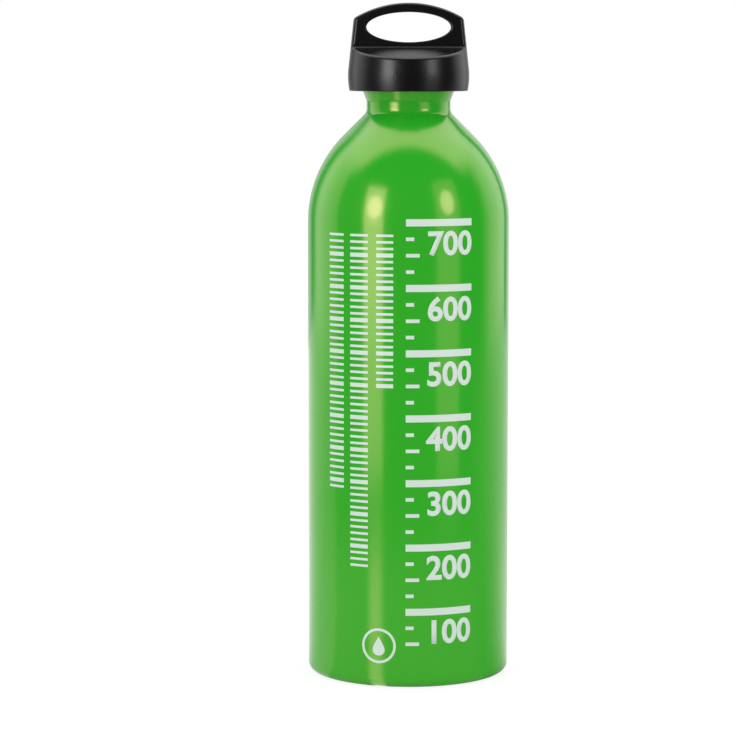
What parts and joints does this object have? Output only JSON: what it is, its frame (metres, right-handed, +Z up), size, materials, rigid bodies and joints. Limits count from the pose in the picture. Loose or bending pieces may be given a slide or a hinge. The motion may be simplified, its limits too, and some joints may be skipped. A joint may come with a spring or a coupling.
{
  "type": "camping fuel bottle",
  "caption": "Slim aluminium liquid fuel bottle with domed shoulders, a threaded neck and a push-and-turn screw cap whose flat plate is pierced as a carrying loop.",
  "frame": {"origin": "centre of the bottle's base, on the plane of its standing ring", "axes": "+Z up the bottle's axis; +X along the plate of the carrying loop; the pictured side faces -Y"},
  "size_m": [0.075, 0.075, 0.2504],
  "materials": {
    "lacquered_aluminium": "gloss green lacquer over aluminium",
    "bare_aluminium": "machined",
    "fuel_rubber": "matt",
    "plug_plastic": "satin",
    "spring_steel": "bright drawn wire",
    "washer_plastic": "natural acetal",
    "cap_plastic": "satin moulded black"
  },
  "bodies": {
    "bottle": {"bottle_shell": "lacquered_aluminium", "neck_thread_ring": "bare_aluminium"},
    "seal": {"sealing_gasket": "fuel_rubber"},
    "inner_closure": {"plug": "plug_plastic", "return_spring": "spring_steel"},
    "press_carrier": {"thrust_washer": "washer_plastic"},
    "outer_cap": {"cap_shell": "cap_plastic", "snap_ring": "spring_steel"}
  },
  "joints": [
    {"name": "closure_lift", "type": "slide", "parent": "bottle", "child": "seal", "axis": [0, 0, 1], "range_m": [0, 0.024]},
    {"name": "closure_turn", "type": "hinge", "parent": "seal", "child": "inner_closure", "pos_m": [0, 0, 0.222], "axis": [0, 0, 1], "range_deg": [0, 2880]},
    {"name": "cap_press", "type": "slide", "parent": "inner_closure", "child": "press_carrier", "axis": [0, 0, -1], "range_m": [0, 0.0016], "stiffness_N_per_m": 3000, "springref_m": -0.004, "deforming": ["return_spring"]},
    {"name": "cap_freewheel", "type": "hinge", "parent": "press_carrier", "child": "outer_cap", "pos_m": [0, 0, 0.2314], "axis": [0, 0, 1], "continuous": true}
  ],
  "couplings": [
    {"joint": "closure_turn", "follows": "closure_lift", "rad_per_m": 2094.4}
  ]
}
